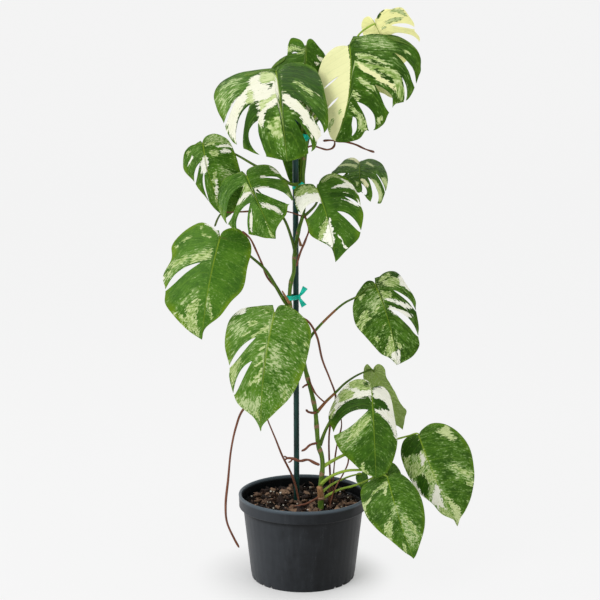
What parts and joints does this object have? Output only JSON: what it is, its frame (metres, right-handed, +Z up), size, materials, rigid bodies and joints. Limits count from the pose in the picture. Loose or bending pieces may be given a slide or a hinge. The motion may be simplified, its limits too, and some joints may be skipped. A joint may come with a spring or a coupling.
{
  "type": "potted climbing houseplant",
  "caption": "Variegated split-leaf climbing houseplant with cream-marbled leaves, tied to a slim cane and rooted in a squat black nursery pot; the pot stands free on its flat base.",
  "frame": {"origin": "centre of the pot's flat base, on the surface the pot stands on", "axes": "+Z up along the pot's axis; the plant's front, the side most leaves face, looks along -Y; +X is to the right as seen from the front"},
  "size_m": [0.5928, 0.2504, 1.0892],
  "materials": {
    "leaf": "satin waxy leaf, green marbled with cream",
    "stalk": "smooth green stem and petioles",
    "root": "dull brown aerial root",
    "mix": "damp bark potting mix",
    "pot": "satin black moulded plastic",
    "cane": "dark green plastic coating",
    "tie": "teal plastic tape"
  },
  "bodies": {
    "root": {"leaf_01_blade": "leaf", "leaf_01_petiole": "stalk", "leaf_02_blade": "leaf", "leaf_02_petiole": "stalk", "leaf_03_blade": "leaf", "leaf_03_petiole": "stalk", "leaf_04_blade": "leaf", "leaf_04_petiole": "stalk", "leaf_05_blade": "leaf", "leaf_05_petiole": "stalk", "leaf_06_blade": "leaf", "leaf_06_petiole": "stalk", "leaf_07_blade": "leaf", "leaf_07_petiole": "stalk", "leaf_08_blade": "leaf", "leaf_08_petiole": "stalk", "leaf_09_blade": "leaf", "leaf_09_petiole": "stalk", "leaf_10_blade": "leaf", "leaf_10_petiole": "stalk", "leaf_11_blade": "leaf", "leaf_11_petiole": "stalk", "leaf_12_blade": "leaf", "leaf_12_petiole": "stalk", "leaf_13_blade": "leaf", "leaf_13_petiole": "stalk", "leaf_14_blade": "leaf", "leaf_14_petiole": "stalk", "leaf_15_blade": "leaf", "leaf_15_petiole": "stalk", "leaf_16_blade": "leaf", "leaf_16_petiole": "stalk", "leaf_17_blade": "leaf", "leaf_17_petiole": "stalk", "leaf_18_blade": "leaf", "leaf_18_petiole": "stalk", "root_01": "root", "root_02": "root", "root_03": "root", "root_04": "root", "root_05": "root", "root_06": "root", "root_07": "root", "root_08": "root", "root_09": "root", "root_10": "root", "root_11": "root", "root_12": "root", "root_13": "root", "root_14": "root", "root_15": "root", "root_16": "root", "tie_lower": "tie", "tie_middle": "tie", "tie_upper": "tie", "stem": "stalk", "cane": "cane", "pot": "pot", "potting_mix": "mix"}
  },
  "joints": []
}
